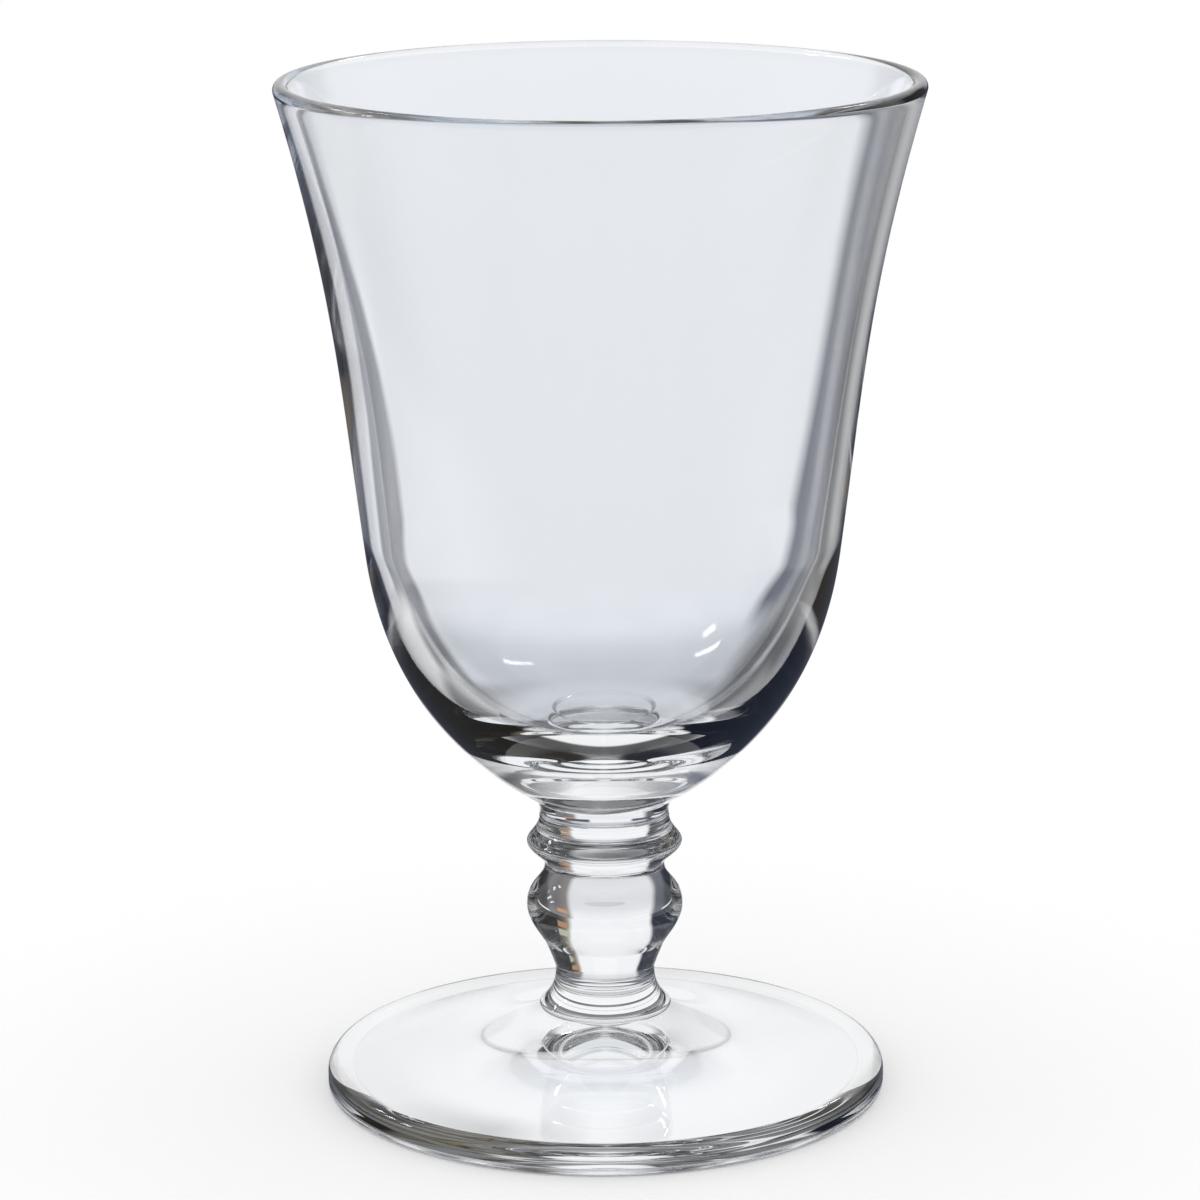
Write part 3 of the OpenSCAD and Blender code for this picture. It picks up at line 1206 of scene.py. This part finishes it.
# %% The room led round the glass
led_round = ramp(
    tree,
    bearing,
    [
        (-180, 0.50),
        (-177, 0.50),
        (-172, 0.007, 0.009, 0.016),
        (-37, 0.007, 0.009, 0.016),
        (-33, 0.85),
        (-22, 0.85),
        (-19, 0.10),
        (-12, 0.10),
        (-9, 0.80),
        (15, 0.85),
        (19, 0.12, 0.11, 0.09),
        (36, 0.12, 0.11, 0.09),
        (42, 0.014, 0.012, 0.007),
        (172, 0.014, 0.012, 0.007),
        (177, 0.50),
        (180, 0.50),
    ],
)
high_up = ramp(
    tree,
    bearing,
    [
        (-180, 0.50),
        (-177, 0.50),
        (-172, 0.007, 0.009, 0.016),
        (-14, 0.007, 0.009, 0.016),
        (-8, 0.22),
        (8, 0.22),
        (14, 0.014, 0.012, 0.007),
        (172, 0.014, 0.012, 0.007),
        (177, 0.50),
        (180, 0.50),
    ],
)
led_round = mixed(tree, rise(tree, climb, 30, 33), led_round, high_up)
brown = ramp(
    tree,
    climb,
    [
        (-30, 0.03, 0.026, 0.014),
        (-14, 0.22, 0.18, 0.11),
        (-4, 0.36, 0.28, 0.19),
        (2, 0.02, 0.018, 0.012),
        (12, 0.02, 0.018, 0.012),
        (18, 0.15, 0.125, 0.06),
        (27, 0.17, 0.14, 0.07),
        (34, 0.02, 0.018, 0.012),
    ],
)
on_one_side = all_of(tree, ray["edge"], band(tree, bearing, 30, 68, 4))
led_round = mixed(tree, on_one_side, led_round, brown)
upwards = all_of(tree, ray["many"], rise(tree, climb, 52, 56))
led_round = mixed(tree, upwards, led_round, (0.92, 0.93, 0.95, 1))
backwards = all_of(tree, ray["endless"], rise(tree, turn, 84, 96))
led_round = mixed(tree, backwards, led_round, (0.60, 0.67, 0.77, 1))
bent = mixed(tree, ray["often"], bent, led_round)
print("nodes for the room with all the mirrored light:", len(tree.nodes))

# %% [markdown]
# The skin of the glass mirrors the sheet and the cards once more, and above them the bright upper room.
# Low down, the cards reach nearly to the middle and draw a thin dark line along the outline of the
# glass.

# %% The skin's reflections
beside = ramp(
    tree,
    bearing,
    [
        (-180, 0.30),
        (-140, 0.50),
        (-110, 0.90),
        (-56, 0.90),
        (-47, 0.12),
        (-28, 0.06, 0.07, 0.10),
        (-22, 0.75),
        (-5, 0.95),
        (5, 0.95),
        (16, 0.75),
        (23, 0.10),
        (47, 0.12),
        (56, 0.85),
        (110, 0.90),
        (140, 0.50),
        (180, 0.30),
    ],
)
above = ramp(
    tree,
    bearing,
    [(-180, 0.30), (-120, 0.50), (-60, 0.85), (60, 0.85), (120, 0.50), (180, 0.30)],
)
outline = ramp(
    tree,
    bearing,
    [
        (-180, 0.30),
        (-140, 0.50),
        (-110, 0.90),
        (-56, 0.90),
        (-47, 0.10),
        (-9, 0.07, 0.08, 0.12),
        (-5, 0.80),
        (5, 0.80),
        (9, 0.07, 0.08, 0.12),
        (47, 0.10),
        (56, 0.85),
        (110, 0.90),
        (140, 0.50),
        (180, 0.30),
    ],
)
skin = mixed(tree, rise(tree, climb, 12, 20), beside, above)
skin = mixed(tree, rise(tree, climb, -4, 2), outline, skin)
bent = mixed(tree, ray["skin"], bent, skin)
print("nodes with the skin's reflections:", len(tree.nodes))

# %% [markdown]
# A few windows high at the sides leave the small hard lights on knop, ring and lip. Three more show
# only in light that was mirrored once, as the lights in the bowl's bottom.

# %% The windows
WINDOW_LIGHT = (12, 12, 12, 1)


def windows(tree, places):
    """The largest of several panes, each 1 between two bearings and two climbs in degrees."""
    lit = 0.0
    for left, right, bottom, top in places:
        pane = all_of(tree, band(tree, bearing, left, right, 2), band(tree, climb, bottom, top, 2))
        lit = sums(tree, "MAXIMUM", lit, pane)
    return lit


on_the_skin = windows(
    tree,
    [(-87, -84, 25, 29), (-74, -71, 27, 31), (-62, -59, 30, 33), (-44, -41, 45, 49), (28, 32, 36, 40)],
)
in_the_bowl = windows(tree, [(-75, -71, 36, 40), (-57, -54, 33, 44), (46, 49, 40, 52)])
in_the_bowl = all_of(tree, in_the_bowl, ray["once"])
bent = mixed(tree, mixed(tree, ray["skin"], in_the_bowl, on_the_skin), bent, WINDOW_LIGHT)
print("nodes with the windows:", len(tree.nodes))

# %% [markdown]
# The room is put together as the table is: the eye sees plain white, and the glass sees its own room.

# %% The room put together
seen = mixed(tree, ray["in_glass"], WHITE, mixed(tree, ray["mirrored"], straight, bent))
room = add(tree, "ShaderNodeBackground", Strength=1.0)
tree.links.new(seen, room.inputs["Color"])
out = add(tree, "ShaderNodeOutputWorld")
tree.links.new(room.outputs[0], out.inputs["Surface"])
print("nodes in the room:", len(tree.nodes))

# %% [markdown]
# Light has to cross many faces of glass before it leaves the stem, so the paths are allowed more turns
# than usual. The picture is shown with the Standard transform, in which white is white.

# %% Light paths and the picture
TURNS, CLEAR_TURNS = 96, 32
scene = bpy.context.scene
scene.view_settings.view_transform = "Standard"
scene.cycles.max_bounces = TURNS
scene.cycles.transmission_bounces = TURNS
scene.cycles.glossy_bounces = TURNS
scene.cycles.transparent_max_bounces = CLEAR_TURNS
print("turns of a light path:", scene.cycles.max_bounces)
